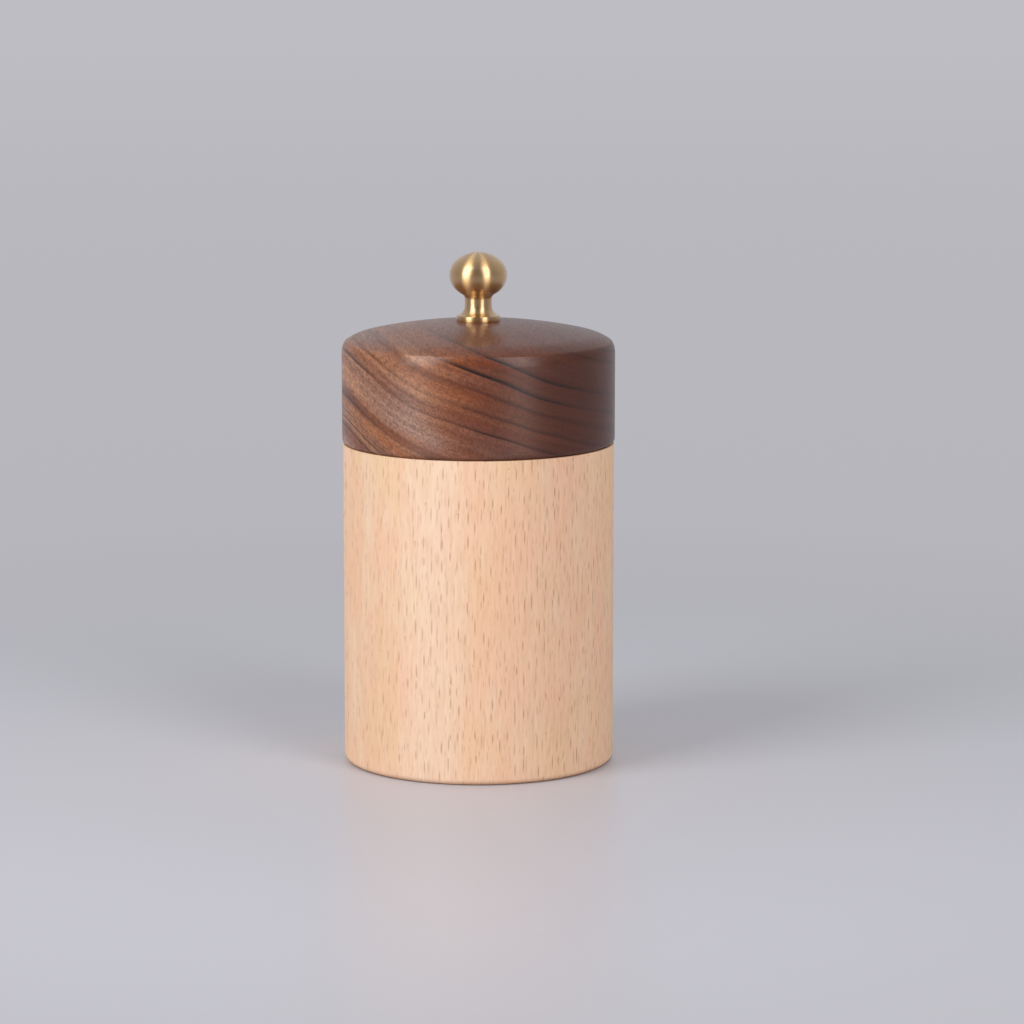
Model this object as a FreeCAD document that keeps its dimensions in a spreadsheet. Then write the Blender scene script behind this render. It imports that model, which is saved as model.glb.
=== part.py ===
import FreeCAD, Part
import math
import os

import Sketcher
from FreeCAD import Vector

# Toothpick jar with a lift-off lid: a turned beech jar, a domed walnut lid and a small brass knob.
#
# The jar is a plain cylinder, bored out to hold picks that stand on end. Its mouth is turned down to a neck,
# and the hollow lid drops over that neck and rests on the shoulder below it. The lid carries a lathe-turned
# knob, held from inside the lid by a pan-head machine screw and a wide washer.
#
# The origin is the centre of the jar's foot, +Z is up, and the pieces are drawn where they stand with the lid
# on. All lengths are millimetres.

# Driving dimensions: alias, value, what it measures.
SIZES = [
    ("body_diameter", 62.0, "beech jar, outside"),
    ("body_height", 73.6, "foot to the shoulder that the lid rests on"),
    ("foot_round", 1.5, "round on the edge of the foot"),
    ("shoulder_bevel", 0.3, "outer edge of the shoulder"),
    ("shoulder_width", 5.0, "ledge from the jar's outside in to its neck"),
    ("neck_height", 8.0, "shoulder to the top of the neck"),
    ("neck_wall", 3.0, "wood between the neck's outside and the bore"),
    ("mouth_bevel", 0.6, "both edges of the mouth"),
    ("floor_thickness", 7.0, "wood below the bore"),
    ("lid_overhang", 0.2, "walnut lid beyond the jar, each side"),
    ("lid_height", 28.0, "rim of the lid to the top of its dome"),
    ("rim_round", 1.2, "round on the outer edge of the lid's rim"),
    ("crown_thickness", 8.0, "wood between the lid's hollow and the top of its dome"),
    ("crown_radius", 122.0, "shallow arc of the dome"),
    ("knuckle_width", 4.4, "tighter outer band of the dome, measured across"),
    ("knuckle_radius", 12.3, "arc of that band"),
    ("crease_inset", 0.7, "crease round the dome, in from the lid's wall"),
    ("brow_radius", 3.6, "soft arc between the wall and the crease"),
    ("neck_clearance", 0.6, "gap between the neck and the lid, each side"),
    ("socket_bevel", 0.8, "lead-in at the mouth of the lid"),
    ("flange_diameter", 10.0, "foot of the knob, across"),
    ("flange_height", 1.3, "foot of the knob, thickness"),
    ("flange_ledge", 0.25, "flat on top of the flange, round the flare"),
    ("flange_bevel", 0.12, "both edges of the flange"),
    ("flare_radius", 2.4, "hollow between the flange and the waist"),
    ("waist_diameter", 6.2, "waist of the knob"),
    ("waist_length", 1.4, "straight part of the waist"),
    ("under_radius", 1.3, "hollow between the waist and the ball"),
    ("ball_diameter", 13.2, "flattened ball of the knob, across"),
    ("ball_height", 10.6, "flattened ball, from its top to where its underside would close"),
    ("flank_angle", 50.0, "degrees of the ball's tight arc, above and below its equator"),
    ("seat_margin", 0.3, "flat on the dome, round the knob's flange"),
    ("screw_diameter", 4.0, "machine screw, across its thread"),
    ("thread_grip", 5.1, "length of screw inside the knob"),
    ("tap_room", 1.9, "tapped hole beyond the screw's tip"),
    ("tip_bevel", 0.5, "edge of the screw's tip"),
    ("screw_play", 0.25, "gap round the screw in the lid, each side"),
    ("thread_play", 0.05, "gap round the screw in the knob, each side"),
    ("pan_diameter", 8.0, "screw head, across"),
    ("pan_height", 3.1, "screw head, thickness"),
    ("pan_round", 1.6, "round on the edge of the screw head"),
    ("cross_width", 1.1, "arm of the cross recess"),
    ("cross_length", 4.6, "cross recess, tip to tip"),
    ("cross_depth", 1.8, "cross recess"),
    ("washer_diameter", 12.0, "wide washer, outside"),
    ("washer_thickness", 1.0, "wide washer"),
    ("washer_play", 0.15, "gap round the screw in the washer, each side"),
]

# Sizes that follow from the driving dimensions. Those of the lid are measured from its own rim.
BODY_RADIUS = "(Sizes.body_diameter / 2)"
NECK_RADIUS = f"({BODY_RADIUS} - Sizes.shoulder_width)"
LID_RADIUS = f"({BODY_RADIUS} + Sizes.lid_overhang)"
SOCKET_RADIUS = f"({NECK_RADIUS} + Sizes.neck_clearance)"
CREASE_RADIUS = f"({LID_RADIUS} - Sizes.crease_inset)"
CEILING = "(Sizes.lid_height - Sizes.crown_thickness)"
FLANGE_RADIUS = "(Sizes.flange_diameter / 2)"
SEAT_RADIUS = f"({FLANGE_RADIUS} + Sizes.seat_margin)"
SEAT_HEIGHT = f"(Sizes.lid_height - Sizes.crown_radius + sqrt(Sizes.crown_radius ^ 2 - {SEAT_RADIUS} ^ 2))"
SCREW_RADIUS = "(Sizes.screw_diameter / 2)"
SCREW_LENGTH = f"(Sizes.washer_thickness + {SEAT_HEIGHT} - {CEILING} + Sizes.thread_grip)"

# The points of a sketch line or arc, and the fixed ones of the sketch itself.
START, END, CENTRE = range(1, 4)
ORIGIN = (-1, START)
SKETCH_AXIS = {"level": -1, "upright": -2}

# Which way round an outline runs along a line or an arc, and how it meets the next one.
FORWARD, BACKWARD = (START, END), (END, START)
CORNER, SMOOTH = "Coincident", "Tangent"


def make_sizes(doc):
    """Puts the driving dimensions in a sheet, one alias a row."""
    sheet = doc.addObject("Spreadsheet::Sheet", "Sizes")
    for row, (alias, value, meaning) in enumerate(SIZES, start=1):
        sheet.set(f"A{row}", meaning)
        sheet.set(f"B{row}", str(value))
        sheet.setAlias(f"B{row}", alias)
    doc.recompute()
    return sheet


def new_piece(doc, label):
    """An empty body whose label names the piece."""
    body = doc.addObject("PartDesign::Body", label)
    body.Label = label
    return body


def sketch_on(body, name, role):
    """An empty sketch on one of the body's own origin planes."""
    plane = next(f for f in body.Origin.OriginFeatures if f.Role == role)
    sketch = body.newObject("Sketcher::SketchObject", name)
    sketch.AttachmentSupport = (plane, [""])
    sketch.MapMode = "FlatFace"
    return sketch


def line(start, end):
    return Part.LineSegment(Vector(*start, 0), Vector(*end, 0))


def circle(centre, radius):
    return Part.Circle(Vector(*centre, 0), Vector(0, 0, 1), radius)


def arc(centre, radius, low, high):
    """An arc that runs anticlockwise from the angle low to the angle high, in radians."""
    return Part.ArcOfCircle(circle(centre, radius), low, high)


def close_chain(sketch, spans):
    """Joins spans of (geometry, way round, joint with the next one) into one closed outline."""
    ids = [sketch.addGeometry(geometry, False) for geometry, _, _ in spans]
    for here, (_, (_, leaves), joint) in enumerate(spans):
        after = (here + 1) % len(spans)
        enters = spans[after][1][0]
        sketch.addConstraint(Sketcher.Constraint(joint, ids[here], leaves, ids[after], enters))
    return ids


def straight_outline(sketch, corners):
    """A closed outline of level and upright lines through the corners."""
    ends = corners[1:] + corners[:1]
    ids = close_chain(sketch, [(line(a, b), FORWARD, CORNER) for a, b in zip(corners, ends)])
    for number, a, b in zip(ids, corners, ends):
        kind = "Horizontal" if abs(a[1] - b[1]) < abs(a[0] - b[0]) else "Vertical"
        sketch.addConstraint(Sketcher.Constraint(kind, number))
    return ids


def on_axis(sketch, curve, point, which):
    """Holds a point on one of the sketch's two axes. The upright one is the turning axis."""
    sketch.addConstraint(Sketcher.Constraint("PointOnObject", curve, point, SKETCH_AXIS[which]))


def dimension(sketch, name, kind, where, drawn, expression):
    """A named dimension that holds what is drawn, driven by the sheet from then on."""
    number = sketch.addConstraint(Sketcher.Constraint(kind, *where, drawn))
    sketch.renameConstraint(number, name)
    sketch.setExpression("Constraints." + name, expression)


def across(sketch, name, point, expression):
    """The distance of a point from the turning axis."""
    dimension(sketch, name, "DistanceX", (*ORIGIN, *point), sketch.getPoint(*point).x, expression)


def up(sketch, name, point, expression, base=ORIGIN):
    """The height of a point above another one, or above the piece's own base."""
    rise = sketch.getPoint(*point).y - sketch.getPoint(*base).y
    dimension(sketch, name, "DistanceY", (*base, *point), rise, expression)


def rounded(sketch, name, curve, expression):
    """The radius of an arc or a circle."""
    dimension(sketch, name, "Radius", (curve,), sketch.Geometry[curve].Radius, expression)


def turn(body, sketch, name):
    """Revolves an outline about the upright axis."""
    turned = body.newObject("PartDesign::Revolution", name)
    turned.Profile = sketch
    turned.ReferenceAxis = (sketch, ["V_Axis"])
    turned.Angle = 360
    body.Document.recompute()
    return turned


def rings(feature, places):
    """The names of the circular edges at the given (radius, height) places."""
    found = []
    for number, edge in enumerate(feature.Shape.Edges, start=1):
        if edge.Degenerated or not edge.isClosed():
            continue
        for radius, height in places:
            if math.isclose(edge.Curve.Radius, radius) and abs(edge.Curve.Center.z - height) < 1e-6:
                found.append(f"Edge{number}")
    if len(found) != len(places):
        raise RuntimeError(f"{feature.Name}: found {len(found)} of {len(places)} edges")
    return found


def ease(body, kind, name, base, places, alias):
    """Rounds or bevels circular edges of the base feature by a size from the sheet."""
    eased = body.newObject("PartDesign::" + kind, name)
    eased.Base = (base, rings(base, places))
    size = "Radius" if kind == "Fillet" else "Size"
    eased.setExpression(size, "Sizes." + alias)
    body.Document.recompute()
    return eased


def make_jar(doc, sizes):
    """The beech jar: a bored cylinder with a neck turned on its mouth."""
    body = new_piece(doc, "jar_body")
    outside = sizes.body_diameter / 2
    neck = outside - sizes.shoulder_width
    bore = neck - sizes.neck_wall
    shoulder = sizes.body_height
    mouth = shoulder + sizes.neck_height
    floor = sizes.floor_thickness

    sketch = sketch_on(body, "JarOutline", "XZ_Plane")
    corners = [
        (0, 0),
        (outside, 0),
        (outside, shoulder),
        (neck, shoulder),
        (neck, mouth),
        (bore, mouth),
        (bore, floor),
        (0, floor),
    ]
    foot, wall, ledge, neck_wall, rim, bore_wall, ground, _ = straight_outline(sketch, corners)
    sketch.addConstraint(Sketcher.Constraint("Coincident", foot, START, *ORIGIN))
    across(sketch, "outside", (wall, START), BODY_RADIUS)
    across(sketch, "neck", (neck_wall, START), NECK_RADIUS)
    across(sketch, "bore", (bore_wall, START), f"{NECK_RADIUS} - Sizes.neck_wall")
    up(sketch, "shoulder", (ledge, START), "Sizes.body_height")
    up(sketch, "neck_rise", (rim, START), "Sizes.neck_height", base=(ledge, START))
    up(sketch, "floor", (ground, START), "Sizes.floor_thickness")

    turned = turn(body, sketch, "JarTurned")
    footed = ease(body, "Fillet", "FootRound", turned, [(outside, 0)], "foot_round")
    shouldered = ease(body, "Chamfer", "ShoulderBevel", footed, [(outside, shoulder)], "shoulder_bevel")
    ease(body, "Chamfer", "MouthBevel", shouldered, [(neck, mouth), (bore, mouth)], "mouth_bevel")
    return body


def knob_seat(sizes):
    """The radius of the flat that the knob stands on, and its height above the lid's rim."""
    radius = sizes.flange_diameter / 2 + sizes.seat_margin
    height = sizes.lid_height - sizes.crown_radius + math.sqrt(sizes.crown_radius**2 - radius**2)
    return radius, height


def make_lid(doc, sizes):
    """The walnut lid: a hollow cap. Its dome is a shallow crown that tightens into a knuckle, down to a crease,
    and a soft brow leads from the crease into the wall."""
    body = new_piece(doc, "lid")
    outside = sizes.body_diameter / 2 + sizes.lid_overhang
    socket = sizes.body_diameter / 2 - sizes.shoulder_width + sizes.neck_clearance
    hole = sizes.screw_diameter / 2 + sizes.screw_play
    ceiling = sizes.lid_height - sizes.crown_thickness
    crease = outside - sizes.crease_inset
    seat, seat_height = knob_seat(sizes)

    # The crown is centred on the axis. The knuckle leaves it with the same slope, and ends at the crease.
    crown_centre = (0, sizes.lid_height - sizes.crown_radius)
    seat_angle = math.acos(seat / sizes.crown_radius)
    knuckle_angle = math.acos((crease - sizes.knuckle_width) / sizes.crown_radius)
    between_centres = sizes.crown_radius - sizes.knuckle_radius
    knuckle_centre = (
        between_centres * math.cos(knuckle_angle),
        crown_centre[1] + between_centres * math.sin(knuckle_angle),
    )
    crease_angle = math.acos((crease - knuckle_centre[0]) / sizes.knuckle_radius)
    crease_height = knuckle_centre[1] + sizes.knuckle_radius * math.sin(crease_angle)
    brow_angle = math.acos(1 - sizes.crease_inset / sizes.brow_radius)
    wall_top = crease_height - sizes.brow_radius * math.sin(brow_angle)
    brow_centre = (outside - sizes.brow_radius, wall_top)

    sketch = sketch_on(body, "LidOutline", "XZ_Plane")
    spans = [
        (line((hole, ceiling), (hole, seat_height)), FORWARD, CORNER),
        (line((hole, seat_height), (seat, seat_height)), FORWARD, CORNER),
        (arc(crown_centre, sizes.crown_radius, knuckle_angle, seat_angle), BACKWARD, SMOOTH),
        (arc(knuckle_centre, sizes.knuckle_radius, crease_angle, knuckle_angle), BACKWARD, CORNER),
        (arc(brow_centre, sizes.brow_radius, 0, brow_angle), BACKWARD, SMOOTH),
        (line((outside, wall_top), (outside, 0)), FORWARD, CORNER),
        (line((outside, 0), (socket, 0)), FORWARD, CORNER),
        (line((socket, 0), (socket, ceiling)), FORWARD, CORNER),
        (line((socket, ceiling), (hole, ceiling)), FORWARD, CORNER),
    ]
    hole_wall, seat_flat, crown, knuckle, brow, wall, rim, socket_wall, roof = close_chain(sketch, spans)
    for level in (seat_flat, rim, roof):
        sketch.addConstraint(Sketcher.Constraint("Horizontal", level))
    for plumb in (hole_wall, wall, socket_wall):
        sketch.addConstraint(Sketcher.Constraint("Vertical", plumb))
    on_axis(sketch, crown, CENTRE, "upright")
    on_axis(sketch, wall, END, "level")
    across(sketch, "screw_hole", (hole_wall, START), f"{SCREW_RADIUS} + Sizes.screw_play")
    across(sketch, "knob_seat", (seat_flat, END), SEAT_RADIUS)
    across(sketch, "knuckle_start", (knuckle, END), f"{CREASE_RADIUS} - Sizes.knuckle_width")
    across(sketch, "crease", (knuckle, START), CREASE_RADIUS)
    across(sketch, "outside", (wall, START), LID_RADIUS)
    across(sketch, "socket", (socket_wall, START), SOCKET_RADIUS)
    up(sketch, "seat_height", (seat_flat, START), SEAT_HEIGHT)
    up(sketch, "ceiling", (roof, START), CEILING)
    rounded(sketch, "crown_arc", crown, "Sizes.crown_radius")
    rounded(sketch, "knuckle_arc", knuckle, "Sizes.knuckle_radius")
    rounded(sketch, "brow_arc", brow, "Sizes.brow_radius")

    turned = turn(body, sketch, "LidTurned")
    rimmed = ease(body, "Fillet", "RimRound", turned, [(outside, 0)], "rim_round")
    ease(body, "Chamfer", "SocketBevel", rimmed, [(socket, 0)], "socket_bevel")
    body.setExpression("Placement.Base.z", "Sizes.body_height")
    return body


def make_knob(doc, sizes):
    """The brass knob: a flange, a flared waist and a flattened ball, with a blind tapped hole from below."""
    body = new_piece(doc, "knob")
    hole = sizes.screw_diameter / 2 + sizes.thread_play
    tapped = sizes.thread_grip + sizes.tap_room
    waist = sizes.waist_diameter / 2
    flange = sizes.flange_diameter / 2
    ledge = sizes.flange_height
    ledge_end = flange - sizes.flange_ledge

    # The flare leaves the waist upright and meets the ledge at an angle.
    flare_angle = math.acos(1 - (ledge_end - waist) / sizes.flare_radius)
    waist_start = ledge + sizes.flare_radius * math.sin(flare_angle)
    waist_end = waist_start + sizes.waist_length
    flare_centre = (waist + sizes.flare_radius, waist_start)

    # A quarter of the ball is a tight arc up from the equator and a wide arc over the pole, with one tangent
    # where they meet, at the flank angle. That fixes both radii.
    half_width = sizes.ball_diameter / 2
    half_height = sizes.ball_height / 2
    flank = math.radians(sizes.flank_angle)
    reach, rise = math.cos(flank), math.sin(flank)
    tight = (half_height * reach - half_width * (1 - rise)) / (reach + rise - 1)
    wide = (half_width * rise - half_height * (1 - reach)) / (reach + rise - 1)

    # The hollow touches the waist beside it and the ball's lower wide arc above it.
    hollow_centre = (waist + sizes.under_radius, waist_end)
    under_centre = (0, waist_end + math.sqrt((wide + sizes.under_radius) ** 2 - hollow_centre[0] ** 2))
    equator = under_centre[1] - wide + half_height
    pole_centre = (0, equator + half_height - wide)
    flank_centre = (half_width - tight, equator)
    top = equator + half_height
    touch = math.atan2(under_centre[1] - hollow_centre[1], -hollow_centre[0])

    sketch = sketch_on(body, "KnobOutline", "XZ_Plane")
    spans = [
        (line((hole, 0), (flange, 0)), FORWARD, CORNER),
        (line((flange, 0), (flange, ledge)), FORWARD, CORNER),
        (line((flange, ledge), (ledge_end, ledge)), FORWARD, CORNER),
        (arc(flare_centre, sizes.flare_radius, math.pi, math.pi + flare_angle), BACKWARD, SMOOTH),
        (line((waist, waist_start), (waist, waist_end)), FORWARD, SMOOTH),
        (arc(hollow_centre, sizes.under_radius, touch, math.pi), BACKWARD, SMOOTH),
        (arc(under_centre, wide, touch - math.pi, -flank), FORWARD, SMOOTH),
        (arc(flank_centre, tight, -flank, 0), FORWARD, CORNER),
        (arc(flank_centre, tight, 0, flank), FORWARD, SMOOTH),
        (arc(pole_centre, wide, flank, math.pi / 2), FORWARD, CORNER),
        (line((0, top), (0, tapped)), FORWARD, CORNER),
        (line((0, tapped), (hole, tapped)), FORWARD, CORNER),
        (line((hole, tapped), (hole, 0)), FORWARD, CORNER),
    ]
    ids = close_chain(sketch, spans)
    base, flange_wall, flange_top, flare_arc, waist_wall, hollow_arc, under_arc = ids[:7]
    low_flank, high_flank, pole_arc, core, hole_end, hole_wall = ids[7:]
    for level in (base, flange_top, hole_end):
        sketch.addConstraint(Sketcher.Constraint("Horizontal", level))
    for plumb in (flange_wall, waist_wall, core, hole_wall):
        sketch.addConstraint(Sketcher.Constraint("Vertical", plumb))
    on_axis(sketch, base, START, "level")
    on_axis(sketch, core, START, "upright")
    on_axis(sketch, pole_arc, CENTRE, "upright")
    on_axis(sketch, under_arc, CENTRE, "upright")
    sketch.addConstraint(Sketcher.Constraint("Coincident", low_flank, CENTRE, high_flank, CENTRE))
    sketch.addConstraint(Sketcher.Constraint("Horizontal", high_flank, CENTRE, high_flank, START))
    sketch.addConstraint(Sketcher.Constraint("Equal", under_arc, pole_arc))
    across(sketch, "tapped_hole", (base, START), f"{SCREW_RADIUS} + Sizes.thread_play")
    across(sketch, "flange", (flange_wall, START), FLANGE_RADIUS)
    across(sketch, "ledge", (flange_top, END), f"{FLANGE_RADIUS} - Sizes.flange_ledge")
    across(sketch, "waist", (waist_wall, START), "Sizes.waist_diameter / 2")
    across(sketch, "ball", (high_flank, START), "Sizes.ball_diameter / 2")
    up(sketch, "flange_height", (flange_top, START), "Sizes.flange_height")
    up(sketch, "waist_length", (waist_wall, END), "Sizes.waist_length", base=(waist_wall, START))
    up(sketch, "ball_half", (core, START), "Sizes.ball_height / 2", base=(high_flank, START))
    up(sketch, "tapped_depth", (core, END), "Sizes.thread_grip + Sizes.tap_room")
    rounded(sketch, "flare", flare_arc, "Sizes.flare_radius")
    rounded(sketch, "hollow", hollow_arc, "Sizes.under_radius")
    dimension(sketch, "flank", "Angle", (high_flank,), flank, "Sizes.flank_angle * 1 deg")

    turned = turn(body, sketch, "KnobTurned")
    ease(body, "Chamfer", "FlangeBevel", turned, [(flange, 0), (flange, ledge)], "flange_bevel")
    body.setExpression("Placement.Base.z", f"Sizes.body_height + {SEAT_HEIGHT}")
    return body


def make_screw(doc, sizes):
    """The pan-head screw, tip up and head down, with a cross recess. It is drawn from under its head."""
    body = new_piece(doc, "knob_screw")
    shank = sizes.screw_diameter / 2
    head = sizes.pan_diameter / 2
    ceiling = sizes.lid_height - sizes.crown_thickness
    length = sizes.washer_thickness + knob_seat(sizes)[1] - ceiling + sizes.thread_grip

    sketch = sketch_on(body, "ScrewOutline", "XZ_Plane")
    crown = -sizes.pan_height
    corners = [(0, crown), (head, crown), (head, 0), (shank, 0), (shank, length), (0, length)]
    bottom, head_wall, bearing, shank_wall, tip, _ = straight_outline(sketch, corners)
    on_axis(sketch, bottom, START, "upright")
    on_axis(sketch, bearing, START, "level")
    across(sketch, "head", (head_wall, START), "Sizes.pan_diameter / 2")
    across(sketch, "shank", (shank_wall, START), SCREW_RADIUS)
    up(sketch, "crown", (bottom, START), "-Sizes.pan_height")
    up(sketch, "tip", (tip, START), SCREW_LENGTH)

    turned = turn(body, sketch, "ScrewTurned")
    domed = ease(body, "Fillet", "PanRound", turned, [(head, crown)], "pan_round")
    pointed = ease(body, "Chamfer", "TipBevel", domed, [(shank, length)], "tip_bevel")

    recess = sketch_on(body, "CrossArm", "XY_Plane")
    recess.setExpression("AttachmentOffset.Base.z", "-Sizes.pan_height")
    arm, side = sizes.cross_length / 2, sizes.cross_width / 2
    edges = straight_outline(recess, [(-arm, -side), (arm, -side), (arm, side), (-arm, side)])
    near, far = (edges[0], START), (edges[2], START)
    recess.addConstraint(Sketcher.Constraint("Symmetric", *near, *far, *ORIGIN))
    across(recess, "arm", far, "Sizes.cross_length / 2")
    up(recess, "side", far, "Sizes.cross_width / 2")
    pocket = body.newObject("PartDesign::Pocket", "ArmPocket")
    pocket.Profile = recess
    pocket.Reversed = True
    pocket.setExpression("Length", "Sizes.cross_depth")
    doc.recompute()
    cross = body.newObject("PartDesign::PolarPattern", "CrossPattern")
    cross.Originals = [pocket]
    cross.Axis = (recess, ["N_Axis"])
    cross.Angle = 90
    cross.Occurrences = 2
    body.Tip = cross
    doc.recompute()
    if not pointed.Shape.Volume > pocket.Shape.Volume > cross.Shape.Volume:
        raise RuntimeError("the cross recess doesn't cut the screw head")
    body.setExpression("Placement.Base.z", f"Sizes.body_height + {CEILING} - Sizes.washer_thickness")
    return body


def make_washer(doc, sizes):
    """The wide washer between the screw head and the ceiling of the lid."""
    body = new_piece(doc, "knob_washer")
    sketch = sketch_on(body, "WasherOutline", "XY_Plane")
    rim = sketch.addGeometry(circle((0, 0), sizes.washer_diameter / 2), False)
    hole = sketch.addGeometry(circle((0, 0), sizes.screw_diameter / 2 + sizes.washer_play), False)
    for ring in (rim, hole):
        sketch.addConstraint(Sketcher.Constraint("Coincident", ring, CENTRE, *ORIGIN))
    rounded(sketch, "rim", rim, "Sizes.washer_diameter / 2")
    rounded(sketch, "hole", hole, f"{SCREW_RADIUS} + Sizes.washer_play")
    pad = body.newObject("PartDesign::Pad", "WasherPad")
    pad.Profile = sketch
    pad.setExpression("Length", "Sizes.washer_thickness")
    body.setExpression("Placement.Base.z", f"Sizes.body_height + {CEILING} - Sizes.washer_thickness")
    return body


def check(doc, pieces):
    """Stops on a failed object, a loose sketch or a piece that is not one sound solid."""
    for thing in doc.Objects:
        if "Invalid" in thing.State or "Error" in thing.State:
            raise RuntimeError(f"{thing.Label} failed: {thing.State}")
        if thing.TypeId == "Sketcher::SketchObject" and not thing.FullyConstrained:
            raise RuntimeError(f"{thing.Label} is not fully constrained")
    for piece in pieces:
        shape = piece.Shape
        if shape.isNull() or not shape.isValid() or len(shape.Solids) != 1:
            raise RuntimeError(f"{piece.Label} is not one sound solid")
        box = shape.optimalBoundingBox(False)
        size = f"{box.XLength:.2f} x {box.YLength:.2f} x {box.ZLength:.2f}"
        print(f"{piece.Label}: {size} mm, z {box.ZMin:.2f} to {box.ZMax:.2f}, {shape.Volume:.0f} mm3")


def main():
    doc = FreeCAD.newDocument("ToothpickJar")
    sizes = make_sizes(doc)
    pieces = [
        make_jar(doc, sizes),
        make_lid(doc, sizes),
        make_knob(doc, sizes),
        make_screw(doc, sizes),
        make_washer(doc, sizes),
    ]
    doc.recompute()
    check(doc, pieces)
    os.makedirs("parts", exist_ok=True)
    for piece in pieces:
        piece.Shape.exportStep(f"parts/{piece.Label}.step")


main()
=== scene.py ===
# %% [markdown]
# # A turned jar for toothpicks
#
# The object is a beech jar with a walnut lid that lifts off, and a small brass knob held by a screw from
# below. Every part of it comes off a lathe, so nearly every mesh here is one outline spun round the z
# axis.
#
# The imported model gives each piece's true size and place. This script loads it first, dresses each piece
# in a finer mesh with a real finish, and never moves or resizes what it loaded.

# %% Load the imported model
import math

import bmesh
import bpy
from mathutils import Matrix, Vector


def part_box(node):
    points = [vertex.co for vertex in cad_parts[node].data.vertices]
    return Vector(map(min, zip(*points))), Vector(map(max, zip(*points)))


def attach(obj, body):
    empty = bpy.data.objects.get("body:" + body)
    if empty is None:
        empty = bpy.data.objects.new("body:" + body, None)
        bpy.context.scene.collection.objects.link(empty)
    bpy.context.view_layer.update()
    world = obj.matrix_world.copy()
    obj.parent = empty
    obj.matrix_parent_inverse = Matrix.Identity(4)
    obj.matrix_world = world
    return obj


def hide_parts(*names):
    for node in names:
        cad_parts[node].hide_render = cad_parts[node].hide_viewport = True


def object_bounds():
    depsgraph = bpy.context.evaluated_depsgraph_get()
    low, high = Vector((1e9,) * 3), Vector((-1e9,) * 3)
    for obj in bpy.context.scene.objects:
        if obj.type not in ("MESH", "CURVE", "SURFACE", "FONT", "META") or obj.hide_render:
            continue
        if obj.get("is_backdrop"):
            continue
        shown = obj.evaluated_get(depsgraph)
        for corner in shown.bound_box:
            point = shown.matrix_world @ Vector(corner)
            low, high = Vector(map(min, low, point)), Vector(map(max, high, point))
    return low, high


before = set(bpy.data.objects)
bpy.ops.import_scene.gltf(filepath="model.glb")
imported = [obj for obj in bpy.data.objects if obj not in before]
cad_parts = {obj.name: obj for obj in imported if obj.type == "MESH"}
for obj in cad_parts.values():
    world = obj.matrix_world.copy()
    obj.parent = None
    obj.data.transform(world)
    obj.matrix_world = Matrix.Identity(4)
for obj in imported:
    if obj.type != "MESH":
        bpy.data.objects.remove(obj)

MM = 0.001
cad_low, cad_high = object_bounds()
print("height of the whole object:", round((cad_high.z - cad_low.z) / MM, 2), "mm")

# %% [markdown]
# ## A lathe made of bmesh operators
#
# A lathe piece could be built from stacked cylinders, or from a curve with the Screw modifier. Here the
# outline is drawn the way a turner cuts it: a single vertex is pushed along straight cuts and swung along
# round ones, and the trail it leaves is spun a full turn. The outline is drawn in the xz plane, with x as
# the radius.
#
# Small rounds are left out of the outline. They are bevels on the finished rings, one line each, so that
# every round has its own named size.

# %% Helpers that draw and spin an outline
COLUMNS = 192
SAME_SPOT = 0.002 * MM


def start_outline(radius, height):
    """A new mesh that holds one vertex, the tip of the cutting tool."""
    mesh = bmesh.new()
    tip = bmesh.ops.create_vert(mesh, co=(radius * MM, 0, height * MM))["vert"][0]
    return mesh, tip


def straight(mesh, tip, radius, height):
    """A straight cut from the tip to another radius and height, in millimetres."""
    end = bmesh.ops.extrude_vert_indiv(mesh, verts=[tip])["verts"][0]
    end.co = Vector((radius, 0, height)) * MM
    return end


def swing(mesh, tip, radius, height, degrees, steps):
    """A round cut about the centre at that radius and height. Positive degrees run from +x up to +z."""
    spun = bmesh.ops.spin(mesh, geom=[tip], cent=Vector((radius, 0, height)) * MM, axis=(0, -1, 0),
                          angle=math.radians(degrees), steps=steps)
    return next(v for v in spun["geom_last"] if isinstance(v, bmesh.types.BMVert))


def spin_round(mesh):
    """Spins the outline a full turn about z, closes the poles and turns the faces outwards."""
    bmesh.ops.spin(mesh, geom=mesh.verts[:] + mesh.edges[:], cent=(0, 0, 0), axis=(0, 0, 1),
                   angle=math.tau, steps=COLUMNS, use_merge=True)
    bmesh.ops.remove_doubles(mesh, verts=mesh.verts, dist=SAME_SPOT)
    bmesh.ops.recalc_face_normals(mesh, faces=mesh.faces)


# %% Helper that rounds a ring of edges
ON_RING = 0.01 * MM


def ease_ring(mesh, radius, height, size, segments):
    """Rounds the ring of edges at that radius and height."""
    def on_ring(vert):
        return (abs(vert.co.xy.length - radius * MM) < ON_RING
                and abs(vert.co.z - height * MM) < ON_RING)

    ring = [edge for edge in mesh.edges if all(map(on_ring, edge.verts))]
    if len(ring) != COLUMNS:
        raise RuntimeError(f"found {len(ring)} of {COLUMNS} edges at radius {radius}, height {height}")
    bmesh.ops.bevel(mesh, geom=ring, offset=size * MM, offset_type="OFFSET", affect="EDGES",
                    segments=segments, profile=0.5, material=-1, clamp_overlap=True)


# %% [markdown]
# ## From mesh to piece
#
# A finished piece is an object at the origin whose place is all in its mesh, as the loaded nodes are.
# Faces are shaded smooth, and an edge that turns by more than 35 degrees stays crisp. A Weighted Normal
# modifier then lets the large faces set the shading, so a flat stays flat right up to its rounded edge.

# %% Helpers that make an object and finish a piece
CRISP = math.radians(35)


def make_object(mesh, name):
    """Makes an object of the mesh, with no finish yet."""
    data = bpy.data.meshes.new(name)
    mesh.to_mesh(data)
    mesh.free()
    made = bpy.data.objects.new(name, data)
    bpy.context.scene.collection.objects.link(made)
    return made


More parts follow.
